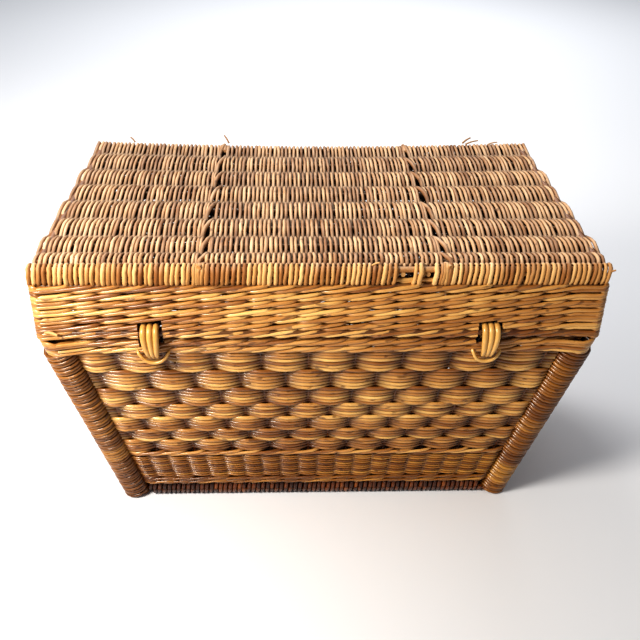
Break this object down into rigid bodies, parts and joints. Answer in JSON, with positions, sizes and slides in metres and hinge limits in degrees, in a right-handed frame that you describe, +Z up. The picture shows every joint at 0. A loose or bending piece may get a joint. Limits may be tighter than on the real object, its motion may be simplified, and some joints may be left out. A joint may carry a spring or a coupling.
{
  "type": "wicker storage trunk",
  "caption": "Woven willow storage trunk with outward-leaning walls, a deep lid hinged on cane wraps at the back and cane closures at the front.",
  "frame": {"origin": "middle of the trunk's base, on the floor", "axes": "+X to the right along the trunk, -Y to the front with the closures, +Z up"},
  "size_m": [0.72, 0.4856, 0.434],
  "materials": {
    "weathered_willow": "matt, dusty",
    "varnished_willow": "glossy varnish",
    "dark_willow": "glossy varnish",
    "peeled_stick": "satin",
    "cane": "smooth satin"
  },
  "bodies": {
    "trunk_body": {"base_sticks": "dark_willow", "base_weave": "dark_willow", "body_border_back": "varnished_willow", "body_border_front": "varnished_willow", "body_border_left": "varnished_willow", "body_border_right": "varnished_willow", "closure_staple_left": "cane", "closure_staple_right": "cane", "corner_post_back_left": "peeled_stick", "corner_post_back_right": "peeled_stick", "corner_post_front_left": "peeled_stick", "corner_post_front_right": "peeled_stick", "corner_wrapping_back_left": "varnished_willow", "corner_wrapping_back_right": "varnished_willow", "corner_wrapping_front_left": "varnished_willow", "corner_wrapping_front_right": "varnished_willow", "fine_weave_back": "varnished_willow", "fine_weave_front": "varnished_willow", "fine_weave_left": "varnished_willow", "fine_weave_right": "varnished_willow", "hinge_wrap_left": "cane", "hinge_wrap_right": "cane", "slewed_siding_back": "varnished_willow", "slewed_siding_front": "varnished_willow", "slewed_siding_left": "varnished_willow", "slewed_siding_right": "varnished_willow", "stakes_back": "peeled_stick", "stakes_front": "peeled_stick", "stakes_left": "peeled_stick", "stakes_right": "peeled_stick"},
    "lid": {"lid_border_back": "varnished_willow", "lid_border_front": "varnished_willow", "lid_border_left": "varnished_willow", "lid_border_right": "varnished_willow", "lid_corner_stick_back_left": "peeled_stick", "lid_corner_stick_back_right": "peeled_stick", "lid_corner_stick_front_left": "peeled_stick", "lid_corner_stick_front_right": "peeled_stick", "lid_edge_rod_left": "weathered_willow", "lid_edge_rod_right": "weathered_willow", "lid_pairing_left": "weathered_willow", "lid_pairing_right": "weathered_willow", "lid_siding_back": "varnished_willow", "lid_siding_front": "varnished_willow", "lid_siding_left": "varnished_willow", "lid_siding_right": "varnished_willow", "lid_stakes_back": "peeled_stick", "lid_stakes_front": "peeled_stick", "lid_stakes_left": "peeled_stick", "lid_stakes_right": "peeled_stick", "lid_sticks": "peeled_stick", "lid_weave_left": "weathered_willow", "lid_weave_middle": "weathered_willow", "lid_weave_right": "weathered_willow"},
    "left_closure": {"closure_left": "cane"},
    "right_closure": {"closure_right": "cane"}
  },
  "joints": [
    {"name": "lid_hinge", "type": "hinge", "parent": "trunk_body", "child": "lid", "pos_m": [0, 0.2285, 0.336], "axis": [-1, 0, 0], "range_deg": [0, 100]},
    {"name": "left_closure_swing", "type": "hinge", "parent": "lid", "child": "left_closure", "pos_m": [-0.219, -0.2305, 0.33625], "axis": [-1, 0, 0], "range_deg": [0, 90]},
    {"name": "right_closure_swing", "type": "hinge", "parent": "lid", "child": "right_closure", "pos_m": [0.219, -0.2305, 0.33625], "axis": [-1, 0, 0], "range_deg": [0, 90]}
  ]
}
